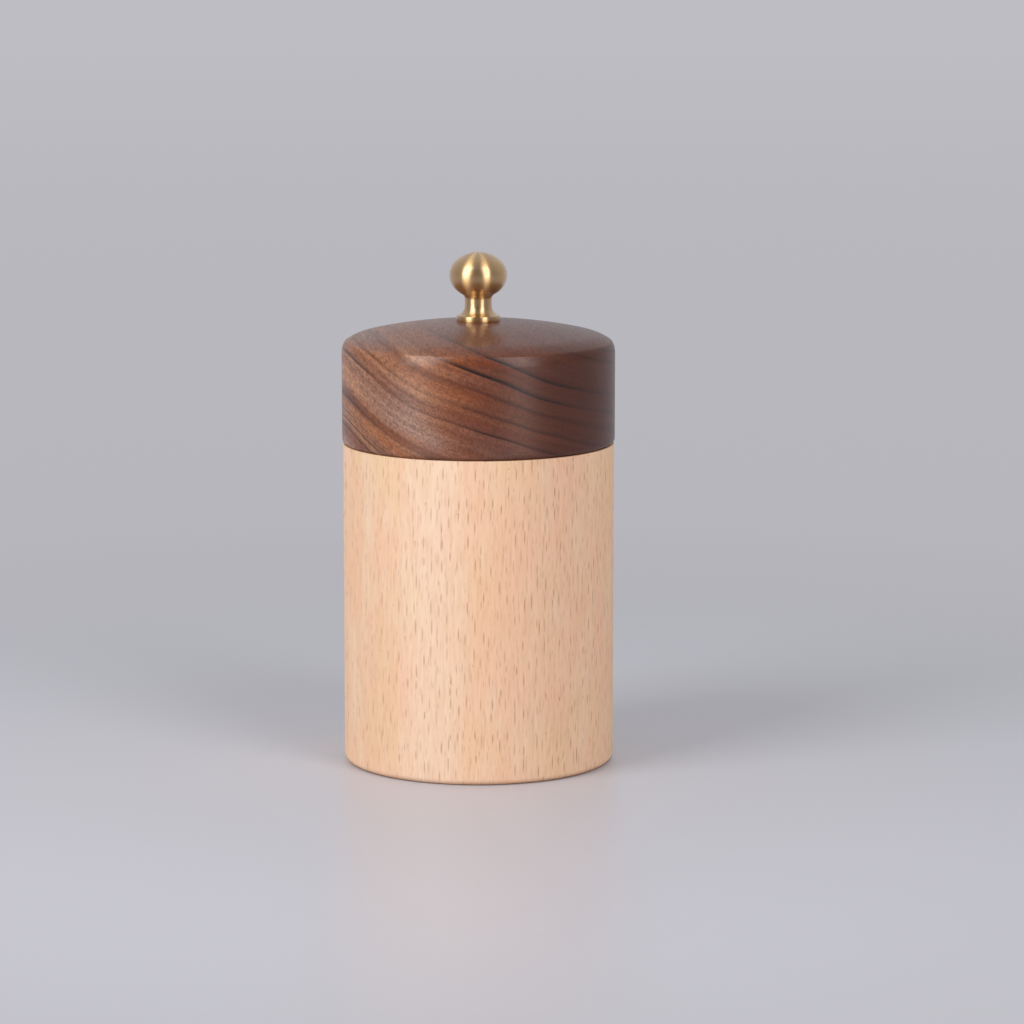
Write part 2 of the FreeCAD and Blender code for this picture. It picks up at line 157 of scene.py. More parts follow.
def finish_piece(mesh, name, node, body, material):
    """Makes an object of the mesh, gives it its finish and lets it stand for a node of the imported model."""
    for face in mesh.faces:
        face.smooth = True
    for edge in mesh.edges:
        edge.smooth = edge.calc_face_angle(0) < CRISP
    piece = make_object(mesh, name)
    piece.data.materials.append(material)
    even = piece.modifiers.new("even shading", "WEIGHTED_NORMAL")
    even.keep_sharp = True
    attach(piece, body)
    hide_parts(node)
    print(f"{name}: {len(piece.data.vertices)} vertices, {len(piece.data.polygons)} faces")


# %% [markdown]
# ## Helpers for the finishes
#
# Every finish is procedural, so it needs no picture file and has no seam. Colours are written as the sRGB
# hex codes that a paint program shows, and one function turns them into the linear values that a shader
# works in. Nodes are added by one small function that takes the node's inputs and its options.

# %% Colour and node helpers


def srgb(code):
    """An sRGB hex code such as "#D8A26C" as a linear colour."""
    levels = [int(code[place:place + 2], 16) / 255 for place in (1, 3, 5)]
    return [v / 12.92 if v <= 0.04045 else ((v + 0.055) / 1.055) ** 2.4 for v in levels] + [1.0]


def add(tree, kind, inputs=None, **options):
    """Adds a node, sets its options, and sets or links its inputs by their name or number."""
    node = tree.nodes.new("ShaderNode" + kind)
    for option, value in options.items():
        setattr(node, option, value)
    for socket, value in (inputs or {}).items():
        if isinstance(value, bpy.types.NodeSocket):
            tree.links.new(value, node.inputs[socket])
        else:
            node.inputs[socket].default_value = value
    return node


def new_finish(name):
    """An empty material, its node tree and its Principled shader."""
    material = bpy.data.materials.new(name)
    material.use_nodes = True
    tree = material.node_tree
    return material, tree, tree.nodes["Principled BSDF"]


# %% [markdown]
# ## What the two woods share
#
# A flat picture wrapped round a piece would show the same figure everywhere, and would have a seam. Here
# each wood is a solid pattern in real millimetres, and the piece is cut out of it. So each of its faces
# shows the figure that such a cut would show.
#
# Both woods need lumpy noise of a given size, which is the grain. Both need long thin spindles, which are
# the rays of the beech and the pores of the walnut: each is one cell of a Voronoi pattern, measured from
# the cell's middle. And both get their colour as a painter would give it, one glaze over another. All
# sizes are in millimetres.

# %% Helpers that both woods use
SMOOTH = {"interpolation_type": "SMOOTHSTEP"}
RELIEF = 0.012 * MM


def in_steps(tree, place, size):
    """A place in millimetres, counted in steps of the given size on each axis."""
    steps = add(tree, "VectorMath", {0: place, 1: [1 / v for v in size]}, operation="MULTIPLY")
    return steps.outputs[0]


def grain(tree, place, size, detail, rough):
    """Noise whose lumps have the given size in millimetres on each axis."""
    return add(tree, "TexNoise", {"Vector": in_steps(tree, place, size), "Scale": 1.0, "Detail": detail,
                                  "Roughness": rough})


def spindles(tree, place, cell, half):
    """One spindle of the given half size in each cell.

    It gives the place in the spindle, which reaches to 1 on each axis, and the cell's random colour."""
    steps = in_steps(tree, place, cell)
    seeds = add(tree, "TexVoronoi", {"Vector": steps, "Scale": 1.0, "Randomness": 1.0})
    away = add(tree, "VectorMath", {0: steps, 1: seeds.outputs["Position"]}, operation="SUBTRACT")
    inside = add(tree, "VectorMath", {0: away.outputs[0], 1: [c / h for c, h in zip(cell, half)]},
                 operation="MULTIPLY")
    return inside.outputs[0], seeds.outputs["Color"]


def glaze(tree, base, amount, start, end, most, code, **options):
    """The base colour drawn towards another as an amount goes from start to end, by a share at most."""
    share = add(tree, "MapRange", {"Value": amount, "From Min": start, "From Max": end, "To Max": most},
                **options)
    mixed = add(tree, "Mix", {0: share.outputs[0], 6: base, 7: srgb(code)}, data_type="RGBA")
    return mixed.outputs[2]


def sand(tree, shader, fibre, pits, depth, smoothest, roughest):
    """Lets the roughness and a fine relief follow the fibres, with the pits sunk in by their depth."""
    shine = add(tree, "MapRange", {"Value": fibre, "To Min": smoothest, "To Max": roughest})
    tree.links.new(shine.outputs[0], shader.inputs["Roughness"])
    height = add(tree, "Math", {0: pits, 1: -depth, 2: fibre}, operation="MULTIPLY_ADD")
    relief = add(tree, "Bump", {"Height": height.outputs[0], "Strength": 1.0, "Distance": RELIEF})
    tree.links.new(relief.outputs[0], shader.inputs["Normal"])


# %% [markdown]
# ## Beech, sanded and oiled matt
#
# Beech is a pale, fine-grained wood. What the eye knows it by are its rays: thin sheets of darker cells
# that run from the pith to the bark. A face cut along the rings shows their ends as short upright dashes,
# a face cut across the rings shows them side on as pale flakes, and end grain shows them as straight
# spokes.
#
# The pattern is laid out round a pith that lies outside the jar, so the dashes, the flakes and the spokes
# each appear where the cut calls for them. The rays are spindles in the directions along the ring, up the
# trunk and out from the pith.

# %% Lay the beech out round its pith
PITH_AWAY = 95.0
DASH_SIDE = math.radians(25)
BEECH_BEND = (2.0, 2.0, 0)
BEECH_BEND_SIZE = (45, 45, 60)


def beech_layout(tree, spot):
    """The place in the trunk, in millimetres along the ring, up the trunk and out from the pith.

    It also gives how squarely the surface faces the pith: 1 where the rays are cut across, 0 where they are
    cut along."""
    # Millimetres from the pith, turned so that +x comes out on the jar's front, a little to the right.
    turned = (0, 0, math.pi / 2 - DASH_SIDE)
    wood = add(tree, "Mapping", {"Vector": spot.outputs["Object"], "Location": (PITH_AWAY, 0, 0),
                                 "Rotation": turned, "Scale": (1 / MM,) * 3}).outputs[0]
    # The trunk was never quite straight, which bends the lines by a millimetre or so.
    bend = grain(tree, wood, BEECH_BEND_SIZE, 1.0, 0.5)
    bent = add(tree, "VectorMath", {0: bend.outputs["Color"], 1: BEECH_BEND, 2: wood},
               operation="MULTIPLY_ADD")
    part = add(tree, "SeparateXYZ", {0: bent.outputs[0]})
    turn = add(tree, "Math", {0: part.outputs["Y"], 1: part.outputs["X"]}, operation="ARCTAN2")
    around = add(tree, "Math", {0: turn.outputs[0], 1: PITH_AWAY}, operation="MULTIPLY")
    level = add(tree, "VectorMath", {0: bent.outputs[0], 1: (1, 1, 0)}, operation="MULTIPLY")
    out = add(tree, "VectorMath", {0: level.outputs[0]}, operation="LENGTH")
    trunk = add(tree, "CombineXYZ", {"X": around.outputs[0], "Y": part.outputs["Z"],
                                     "Z": out.outputs["Value"]})

    facing = add(tree, "Mapping", {"Vector": spot.outputs["Normal"], "Rotation": turned},
                 vector_type="NORMAL")
    outward = add(tree, "VectorMath", {0: level.outputs[0]}, operation="NORMALIZE")
    square = add(tree, "VectorMath", {0: facing.outputs[0], 1: outward.outputs[0]}, operation="DOT_PRODUCT")
    across = add(tree, "Math", {0: square.outputs["Value"]}, operation="ABSOLUTE")
    return trunk.outputs[0], across.outputs[0]


print(f"beech: the pith lies {PITH_AWAY:.0f} mm from the jar's axis")


# %% Draw the beech's rays
RAY_CELL = Vector((1.35, 5.2, 10.0))
RAY_HALF = Vector((0.19, 2.4, 40.0))
FINE_CELL = Vector((0.75, 3.6, 7.0))
FINE_HALF = Vector((0.13, 1.6, 30.0))


def beech_rays(tree, trunk, cell, half, faintest):
    """Rays of uneven length and darkness, the faintest as given."""
    inside, chance = spindles(tree, trunk, cell, half)
    chance = add(tree, "SeparateColor", {0: chance})
    stretch = add(tree, "MapRange", {"Value": chance.outputs["Green"], "To Min": 1.6, "To Max": 0.8})
    longer = add(tree, "CombineXYZ", {"X": 1.0, "Y": stretch.outputs[0], "Z": 1.0})
    uneven = add(tree, "VectorMath", {0: inside, 1: longer.outputs[0]}, operation="MULTIPLY")
    reach = add(tree, "VectorMath", {0: uneven.outputs[0]}, operation="LENGTH")
    core = add(tree, "MapRange", {"Value": reach.outputs["Value"], "From Min": 1.0, "From Max": 0.25},
               **SMOOTH)
    depth = add(tree, "MapRange", {"Value": chance.outputs["Red"], "From Min": 0.12, "To Min": faintest})
    return add(tree, "Math", {0: core.outputs[0], 1: depth.outputs[0]}, operation="MULTIPLY").outputs[0]


def beech_dark(tree, trunk, across):
    """How dark the rays make the wood. The large ones show most where they are cut across."""
    large = beech_rays(tree, trunk, RAY_CELL, RAY_HALF, 0.3)
    fine = beech_rays(tree, trunk, FINE_CELL, FINE_HALF, 0.0)
    dash = add(tree, "MapRange", {"Value": across, "From Min": 0.1, "From Max": 0.95, "To Min": 0.1,
                                  "To Max": 0.54})
    dark = add(tree, "Math", {0: large, 1: dash.outputs[0]}, operation="MULTIPLY")
    small = add(tree, "Math", {0: fine, 1: 0.26}, operation="MULTIPLY")
    return add(tree, "Math", {0: dark.outputs[0], 1: small.outputs[0]}, operation="MAXIMUM").outputs[0]


print(f"rays: {2 * RAY_HALF.x:.2f} mm wide, one in every {RAY_CELL.x:.2f} x {RAY_CELL.y:.1f} mm")

# %% Colour the beech
YEAR_WIDTH = 3.1
YEAR_WANDER = 1.2
PALE_STREAK = -16.5
PALE_HALF_WIDTH = 7.5
BLUSH_START, BLUSH_END = 106, 130


def beech_years(tree, out, patch):
    """Rises through each year's growth to a fine edge, which wanders a little."""
    wander = add(tree, "MapRange", {"Value": patch, "To Min": -YEAR_WANDER, "To Max": YEAR_WANDER})
    year = add(tree, "Math", {0: out, 1: 1 / YEAR_WIDTH, 2: wander.outputs[0]}, operation="MULTIPLY_ADD")
    growth = add(tree, "Math", {0: year.outputs[0]}, operation="FRACT")
    return add(tree, "Math", {0: growth.outputs[0], 1: 4.0}, operation="POWER").outputs[0]


def beech_colour(tree, spot, trunk, fibre, dark):
    part = add(tree, "SeparateXYZ", {0: trunk})
    streak = grain(tree, trunk, (3.5, 30, 3.5), 2.0, 0.5).outputs["Fac"]
    patch = grain(tree, trunk, (8, 20, 8), 1.0, 0.5).outputs["Fac"]
    base = glaze(tree, srgb("#F3CAA3"), streak, 0.2, 0.8, 1.0, "#F6D6B8", **SMOOTH)
    base = glaze(tree, base, patch, 0.45, 0.75, 0.7, "#F7C5A5")
    base = glaze(tree, base, patch, 0.45, 0.25, 0.5, "#F3D1A2")
    # The wood blushes towards the bark.
    base = glaze(tree, base, part.outputs["Z"], BLUSH_START, BLUSH_END, 0.4, "#F2C1A0", **SMOOTH)
    # One broad upright band is drawn paler than the rest.
    off = add(tree, "Math", {0: part.outputs["X"], 1: PALE_STREAK}, operation="SUBTRACT")
    off = add(tree, "Math", {0: off.outputs[0]}, operation="ABSOLUTE")
    base = glaze(tree, base, off.outputs[0], PALE_HALF_WIDTH, 1.0, 0.45, "#FAE0C8", **SMOOTH)
    # A faint darker line ends each year's growth.
    late = beech_years(tree, part.outputs["Z"], patch)
    base = glaze(tree, base, late, 0.0, 1.0, 0.05, "#C98D5E")
    base = glaze(tree, base, fibre, 0.38, 0.7, 0.34, "#DBA67E")
    base = glaze(tree, base, dark, 0.0, 1.0, 1.0, "#A5623A")
    # End grain soaks up more oil and turns darker.
    lean = add(tree, "SeparateXYZ", {0: spot.outputs["Normal"]})
    upright = add(tree, "Math", {0: lean.outputs["Z"]}, operation="ABSOLUTE")
    return glaze(tree, base, upright.outputs[0], 0.35, 0.9, 0.35, "#B98556", **SMOOTH)


# %% The beech finish


def beech_finish():
    material, tree, shader = new_finish("beech_sanded_matt_oil")
    spot = add(tree, "TexCoord")
    trunk, across = beech_layout(tree, spot)
    fibre = grain(tree, trunk, (0.45, 7.0, 0.45), 3.0, 0.6).outputs["Fac"]
    dark = beech_dark(tree, trunk, across)
    tree.links.new(beech_colour(tree, spot, trunk, fibre, dark), shader.inputs["Base Color"])
    # Oil on fine-sanded wood stays matt, and the rays lie a hair lower than the wood round them.
    shader.inputs["Specular IOR Level"].default_value = 0.35
    sand(tree, shader, fibre, dark, 0.6, 0.56, 0.7)
    return material


beech = beech_finish()
print(f"{beech.name}: {len(beech.node_tree.nodes)} nodes")

# %% [markdown]
# ## Walnut, sanded and oiled to a satin
#
# Walnut shows dark lines where each year's growth ends, broad darker and redder zones between them, and
# fine open pores. The lid's blank was sawn with its fibres running from front to back, so the front of
# the lid shows the year rings as long slanted lines, and the pores as dots. On top the same pores are
# short streaks.
#
# The year rings are the distance from a pith far above and to the right of the lid, and the fraction of
# that distance gives each ring its soft inner side and its sharp dark outer line. On the left the rings
# bulge, so the lines run down more steeply there.

# %% Lay the walnut out round its pith
PITH_RIGHT = 122.0
PITH_UP = 420.0
# The blank wasn't sawn quite square to the trunk.
WALNUT_TILT = (math.radians(2), 0, math.radians(-4))
WALNUT_BEND = (6.0, 0, 6.0)
WALNUT_BEND_SIZE = (34, 90, 34)
BULGE_START, BULGE_END, BULGE_HEIGHT = -6.0, -31.0, 5.5


def walnut_layout(tree, spot):
    """The place in the wood, in millimetres to the right of the pith, along the fibres and up, and the same
    place with the distance from the pith instead of up, so that the rings are level."""
    wood = add(tree, "Mapping", {"Vector": spot.outputs["Object"], "Location": (-PITH_RIGHT, 0, -PITH_UP),
                                 "Rotation": WALNUT_TILT, "Scale": (1 / MM,) * 3}).outputs[0]
    bend = grain(tree, wood, WALNUT_BEND_SIZE, 2.0, 0.35)
    bent = add(tree, "VectorMath", {0: bend.outputs["Color"], 1: WALNUT_BEND, 2: wood},
               operation="MULTIPLY_ADD")
    flat = add(tree, "VectorMath", {0: bent.outputs[0], 1: (1, 0, 1)}, operation="MULTIPLY")
    out = add(tree, "VectorMath", {0: flat.outputs[0]}, operation="LENGTH")
    part = add(tree, "SeparateXYZ", {0: wood})
    bulge = add(tree, "MapRange", {"Value": part.outputs["X"], "From Min": BULGE_START - PITH_RIGHT,
                                   "From Max": BULGE_END - PITH_RIGHT})
    bulge = add(tree, "Math", {0: bulge.outputs[0], 1: 2.0}, operation="POWER")
    out = add(tree, "Math", {0: bulge.outputs[0], 1: BULGE_HEIGHT, 2: out.outputs["Value"]},
              operation="MULTIPLY_ADD")
    trunk = add(tree, "CombineXYZ", {"X": part.outputs["X"], "Y": part.outputs["Y"], "Z": out.outputs[0]})
    return wood, trunk.outputs[0]


def noise_across(tree, trunk, size, detail):
    """Noise that only changes from ring to ring."""
    part = add(tree, "SeparateXYZ", {0: trunk})
    step = add(tree, "Math", {0: part.outputs["Z"], 1: 1 / size}, operation="MULTIPLY")
    return add(tree, "TexNoise", {"W": step.outputs[0], "Scale": 1.0, "Detail": detail},
               noise_dimensions="1D").outputs["Fac"]


print(f"walnut: the pith lies {PITH_RIGHT:.0f} mm to the right and {PITH_UP:.0f} mm up")


# %% Draw the walnut's lines
RING_WIDTH = 4.4
RING_WANDER = 1.6


def walnut_lines(tree, trunk):
    """How dark the year rings are. A ring darkens slowly and ends in a thin dark line, and the next starts
    pale. Each ring has a weight of its own, and fades here and there."""
    out = add(tree, "SeparateXYZ", {0: trunk}).outputs["Z"]
    wander = add(tree, "MapRange", {"Value": noise_across(tree, trunk, 11, 1.0), "To Min": -RING_WANDER,
                                    "To Max": RING_WANDER})
    year = add(tree, "Math", {0: out, 1: 1 / RING_WIDTH, 2: wander.outputs[0]}, operation="MULTIPLY_ADD")
    growth = add(tree, "Math", {0: year.outputs[0]}, operation="FRACT")
    late = add(tree, "Math", {0: growth.outputs[0], 1: 2.4}, operation="POWER")
    rise = add(tree, "MapRange", {"Value": growth.outputs[0], "From Min": 0.7, "From Max": 0.93}, **SMOOTH)
    fall = add(tree, "MapRange", {"Value": growth.outputs[0], "From Min": 1.0, "From Max": 0.91}, **SMOOTH)
    line = add(tree, "Math", {0: rise.outputs[0], 1: fall.outputs[0]}, operation="MULTIPLY")
    soft = add(tree, "Math", {0: late.outputs[0], 1: fall.outputs[0]}, operation="MULTIPLY")
    line = add(tree, "Math", {0: soft.outputs[0], 1: 0.8, 2: line.outputs[0]}, operation="MULTIPLY_ADD")

    number = add(tree, "Math", {0: year.outputs[0]}, operation="FLOOR")
    chance = add(tree, "TexWhiteNoise", {"W": number.outputs[0]}, noise_dimensions="1D")
    weight = add(tree, "MapRange", {"Value": chance.outputs["Value"], "To Min": 0.2, "To Max": 0.75})
    line = add(tree, "Math", {0: line.outputs[0], 1: weight.outputs[0]}, operation="MULTIPLY")
    fade = grain(tree, trunk, (20, 60, 16), 1.0, 0.5)
    fade = add(tree, "MapRange", {"Value": fade.outputs["Fac"], "From Min": 0.3, "From Max": 0.7,
                                  "To Min": 0.3, "To Max": 1.2})
    return add(tree, "Math", {0: line.outputs[0], 1: fade.outputs[0]}, operation="MULTIPLY").outputs[0]


# %% Draw the walnut's pores
PORE_CELL = Vector((1.0, 8.0, 1.0))
PORE_HALF = Vector((0.12, 3.4, 0.12))


def walnut_pores(tree, wood):
    """Where the open pores are: thin tubes along the fibres."""
    inside, _ = spindles(tree, wood, PORE_CELL, PORE_HALF)
    reach = add(tree, "VectorMath", {0: inside}, operation="LENGTH")
    return add(tree, "MapRange", {"Value": reach.outputs["Value"], "From Min": 1.2, "From Max": 0.4},
               **SMOOTH).outputs[0]


print(f"pores: {2 * PORE_HALF.x:.2f} mm wide and {2 * PORE_HALF.y:.1f} mm long")

# %% Colour the walnut
RED_START, RED_END = -16.0, 0.0
HEART_AND_SHADE_START, HEART_AND_SHADE_END = -18.0, 24.0
EDGE_WANDER = 12.0


def walnut_colour(tree, spot, trunk, speck, pore):
    part = add(tree, "SeparateXYZ", {0: trunk})
    zone = grain(tree, trunk, (22, 60, 5), 2.0, 0.5).outputs["Fac"]
    painted_sheen = grain(tree, trunk, (16, 50, 8), 1.0, 0.5).outputs["Fac"]
    streak = grain(tree, trunk, (16, 60, 0.9), 2.0, 0.6).outputs["Fac"]
    # The lines stand out where the fibres are cut across, and much less on top, where they are cut along.
    up = add(tree, "SeparateXYZ", {0: spot.outputs["Normal"]}).outputs["Z"]
    plain = add(tree, "MapRange", {"Value": up, "From Min": 0.2, "From Max": 0.85, "To Min": 1.0,
                                   "To Max": 0.45})
    band = add(tree, "MapRange", {"Value": noise_across(tree, trunk, 6.0, 2.0), "From Min": 0.42,
                                  "From Max": 0.62, "To Max": plain.outputs[0]})
    line = add(tree, "Math", {0: walnut_lines(tree, trunk), 1: plain.outputs[0]}, operation="MULTIPLY")

    base = glaze(tree, srgb("#AF683F"), zone, 0.35, 0.65, 1.0, "#C98D64")
    # Painted sheen: greyish patches drawn into the colour stand in for the satin's soft reflection of the
    # lamps.
    base = glaze(tree, base, painted_sheen, 0.38, 0.62, 0.75, "#A88779")
    base = glaze(tree, base, band.outputs[0], 0.0, 1.0, 0.7, "#71361B")
    base = glaze(tree, base, streak, 0.45, 0.75, 0.55, "#602D17")
    # The wood reddens and then darkens to the right, towards the pith, with an uneven edge. The darkening is
    # partly the heartwood's own colour and partly painted shade for the right side, which the lamps light
    # less.
    edge = add(tree, "MapRange", {"Value": zone, "To Min": PITH_RIGHT - EDGE_WANDER,
                                  "To Max": PITH_RIGHT + EDGE_WANDER})
    inward = add(tree, "Math", {0: part.outputs["X"], 1: edge.outputs[0]}, operation="ADD")
    base = glaze(tree, base, inward.outputs[0], RED_START, RED_END, 0.6, "#843C20", **SMOOTH)
    base = glaze(tree, base, inward.outputs[0], HEART_AND_SHADE_START, HEART_AND_SHADE_END, 0.84, "#3C1408", **SMOOTH)
    # Painted shade: where the surface faces up, on the dome, the colour is drawn a shade darker.
    base = glaze(tree, base, up, 0.5, 0.95, 0.5, "#6A4030")
    base = glaze(tree, base, line.outputs[0], 0.0, 1.0, 1.0, "#190904")
    base = glaze(tree, base, speck, 0.38, 0.68, 0.55, "#3F2013")
    return glaze(tree, base, pore, 0.0, 1.0, 0.5, "#1E0F09")


# %% The walnut finish


def walnut_finish():
    material, tree, shader = new_finish("walnut_satin_oil")
    spot = add(tree, "TexCoord")
    wood, trunk = walnut_layout(tree, spot)
    speck = grain(tree, trunk, (0.5, 4.0, 0.5), 2.0, 0.6).outputs["Fac"]
    pore = walnut_pores(tree, wood)
    tree.links.new(walnut_colour(tree, spot, trunk, speck, pore), shader.inputs["Base Color"])
    # Oil polished to a satin gives the lamps a soft sheen, which the open pores break up.
    shader.inputs["Specular IOR Level"].default_value = 0.48
    sand(tree, shader, speck, pore, 1.0, 0.24, 0.38)
    return material


walnut = walnut_finish()
print(f"{walnut.name}: {len(walnut.node_tree.nodes)} nodes")

# %% [markdown]
# ## Brass, turned, left satin and lacquered
#
# The tool leaves very fine grooves that run round the knob. They spread a reflection across the grooves,
# which is why a lamp shows on the ball as a tall bright streak and not as a spot. The shader does that
# with its anisotropic setting, given the direction of the grooves: at right angles to the radius and to
# the z axis. A thin clear lacquer keeps the brass from tarnishing. It is the shader's coat, and whitens
# the streaks.

# %% The brass finish
# Real grooves lie about 0.05 mm apart. These are drawn coarser, so that a render can still show them.
GROOVE = 0.12
GROOVE_DEPTH = 0.002
CLOUD = 3.8


def brass_finish():
    material, tree, shader = new_finish("brass_turned_satin_lacquered")
    spot = add(tree, "TexCoord")
    wear = add(tree, "TexNoise", {"Vector": spot.outputs["Object"], "Scale": 1 / (CLOUD * MM),
                                  "Detail": 3.0})
    base = glaze(tree, srgb("#E6C086"), wear.outputs["Fac"], 0.0, 1.0, 1.0, "#D5A76C")
    tree.links.new(base, shader.inputs["Base Color"])
    shine = add(tree, "MapRange", {"Value": wear.outputs["Fac"], "To Min": 0.33, "To Max": 0.38})
    tree.links.new(shine.outputs[0], shader.inputs["Roughness"])
    around = add(tree, "VectorMath", {0: (0, 0, 1), 1: spot.outputs["Object"]}, operation="CROSS_PRODUCT")
    tree.links.new(around.outputs[0], shader.inputs["Tangent"])
    part = add(tree, "SeparateXYZ", {0: spot.outputs["Object"]})
    lines = add(tree, "TexNoise", {"Scale": 1 / (GROOVE * MM), "Detail": 2.0}, noise_dimensions="1D")
    tree.links.new(part.outputs["Z"], lines.inputs["W"])
    relief = add(tree, "Bump", {"Height": lines.outputs["Fac"], "Strength": 1.0,
                                "Distance": GROOVE_DEPTH * MM})
    tree.links.new(relief.outputs[0], shader.inputs["Normal"])
    for socket, value in (
        ("Metallic", 1.0),
        ("Anisotropic", 0.94),
        ("Anisotropic Rotation", 0.25),
        ("Coat Weight", 1.0),
        ("Coat Roughness", 0.25),
        ("Coat IOR", 1.75),
    ):
        shader.inputs[socket].default_value = value
    return material


brass = brass_finish()
print(f"{brass.name}: {len(brass.node_tree.nodes)} nodes")

# %% [markdown]
# ## Steel, bright zinc plated
#
# Bought screws and washers come zinc plated: a cool grey metal, a little cloudy, with a faint crystal
# pattern that breaks up its reflections.

# %% The plated steel finish
CRYSTAL = 0.7


def zinc_finish():
    material, tree, shader = new_finish("steel_zinc_plated")
    spot = add(tree, "TexCoord")
    crystals = add(tree, "TexVoronoi", {"Vector": spot.outputs["Object"], "Scale": 1 / (CRYSTAL * MM)})
    chance = add(tree, "SeparateColor", {0: crystals.outputs["Color"]})
    base = glaze(tree, srgb("#B4B8BC"), chance.outputs["Red"], 0.0, 1.0, 1.0, "#CBCDCB")
    tree.links.new(base, shader.inputs["Base Color"])
    shine = add(tree, "MapRange", {"Value": chance.outputs["Green"], "To Min": 0.28, "To Max": 0.42})
    tree.links.new(shine.outputs[0], shader.inputs["Roughness"])
    shader.inputs["Metallic"].default_value = 1.0
    return material


zinc = zinc_finish()
print(f"{zinc.name}: {len(zinc.node_tree.nodes)} nodes")

# %% [markdown]
# ## The beech jar
#
# The real jar is turned from one block: a straight wall, a bore for the picks, and a neck at the mouth
# that the lid drops over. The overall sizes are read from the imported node, and the rest are the turner's
# own sizes. The bore's bottom corner keeps the round that a lathe tool leaves.

# %% Turn the jar
NECK_RADIUS = 26.0
BORE_RADIUS = 23.0
SHOULDER = 73.6
JAR_FLOOR = 7.0
FOOT_ROUND = 1.5
SHOULDER_ROUND = 0.1
NECK_CORNER = 0.2
MOUTH_ROUND = 0.6
BORE_CORNER = 1.5


def turn_jar():
    _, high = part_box("jar_body")
    wall, mouth = high.x / MM, high.z / MM
    mesh, tip = start_outline(0, 0)
    for radius, height in (
        (wall, 0),
        (wall, SHOULDER),
        (NECK_RADIUS, SHOULDER),
        (NECK_RADIUS, mouth),
        (BORE_RADIUS, mouth),
        (BORE_RADIUS, JAR_FLOOR),
        (0, JAR_FLOOR),
    ):
        tip = straight(mesh, tip, radius, height)
    spin_round(mesh)
    ease_ring(mesh, wall, 0, FOOT_ROUND, 8)
    ease_ring(mesh, wall, SHOULDER, SHOULDER_ROUND, 2)
    ease_ring(mesh, NECK_RADIUS, SHOULDER, NECK_CORNER, 2)
    ease_ring(mesh, NECK_RADIUS, mouth, MOUTH_ROUND, 5)
    ease_ring(mesh, BORE_RADIUS, mouth, MOUTH_ROUND, 5)
    ease_ring(mesh, BORE_RADIUS, JAR_FLOOR, BORE_CORNER, 6)
    return mesh


finish_piece(turn_jar(), "beech_jar", "jar_body", "jar", beech)

# %% [markdown]
# ## The walnut lid
#
# The lid's dome is a very shallow arc that tightens towards the edge and ends in a crease. Below the
# crease a soft brow leads into the upright wall. These are three arcs, each starting where the last one
# ends, so each is one swing of the tool. The centres and angles follow from the radii, as on a turner's
# drawing.
#
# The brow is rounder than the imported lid's, so that it catches a lamp as a tall soft sheen. The two
# outlines part by less than 0.1 mm.

# %% Turn the lid
SOCKET_RADIUS = 26.6
LID_HEIGHT = 28.0
CEILING = 20.0
CROWN_RADIUS = 122.0
KNUCKLE_WIDTH = 4.4
KNUCKLE_RADIUS = 12.3
CREASE_INSET = 0.7
CREASE_ROUND = 0.25
BROW_RADIUS = 5.0
SEAT_RADIUS = 5.3
SCREW_HOLE = 2.25
RIM_ROUND = 1.2
SOCKET_ROUND = 0.8
SOCKET_CORNER = 1.0


def turn_lid():
    low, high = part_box("lid")
    wall, rim = high.x / MM, low.z / MM
    seat, ceiling = high.z / MM, rim + CEILING
    crease = wall - CREASE_INSET

    crown_centre = rim + LID_HEIGHT - CROWN_RADIUS
    seat_angle = math.acos(SEAT_RADIUS / CROWN_RADIUS)
    knuckle_angle = math.acos((crease - KNUCKLE_WIDTH) / CROWN_RADIUS)
    between = CROWN_RADIUS - KNUCKLE_RADIUS
    knuckle_x = between * math.cos(knuckle_angle)
    knuckle_z = crown_centre + between * math.sin(knuckle_angle)
    crease_angle = math.acos((crease - knuckle_x) / KNUCKLE_RADIUS)
    crease_height = knuckle_z + KNUCKLE_RADIUS * math.sin(crease_angle)
    brow_angle = math.acos(1 - CREASE_INSET / BROW_RADIUS)
    brow_z = crease_height - BROW_RADIUS * math.sin(brow_angle)

    mesh, tip = start_outline(SCREW_HOLE, ceiling)
    tip = straight(mesh, tip, SCREW_HOLE, seat)
    tip = straight(mesh, tip, SEAT_RADIUS, seat)
    tip = swing(mesh, tip, 0, crown_centre, math.degrees(knuckle_angle - seat_angle), 16)
    tip = swing(mesh, tip, knuckle_x, knuckle_z, math.degrees(crease_angle - knuckle_angle), 12)
    tip = swing(mesh, tip, wall - BROW_RADIUS, brow_z, -math.degrees(brow_angle), 8)
    tip = straight(mesh, tip, wall, rim)
    tip = straight(mesh, tip, SOCKET_RADIUS, rim)
    tip = straight(mesh, tip, SOCKET_RADIUS, ceiling)
    straight(mesh, tip, SCREW_HOLE, ceiling)
    spin_round(mesh)
    ease_ring(mesh, crease, crease_height, CREASE_ROUND, 3)
    ease_ring(mesh, wall, rim, RIM_ROUND, 8)
    ease_ring(mesh, SOCKET_RADIUS, rim, SOCKET_ROUND, 3)
    ease_ring(mesh, SOCKET_RADIUS, ceiling, SOCKET_CORNER, 5)
    print(f"crease {crease_height:.2f} mm up, dome falls {seat - crease_height:.2f} mm to it")
    return mesh


finish_piece(turn_lid(), "walnut_lid", "lid", "lid", walnut)

# %% [markdown]
# ## The brass knob
#
# The knob is turned from bar: a thin flange, a hollow flare, a straight waist, a small hollow, and a ball
# that is a little flatter than round. A scaled sphere would thin out at the top, so the ball is drawn as
# a turner gauges it: a wide arc over the top, a tight arc at the side and the wide arc again below, all
# tangent.

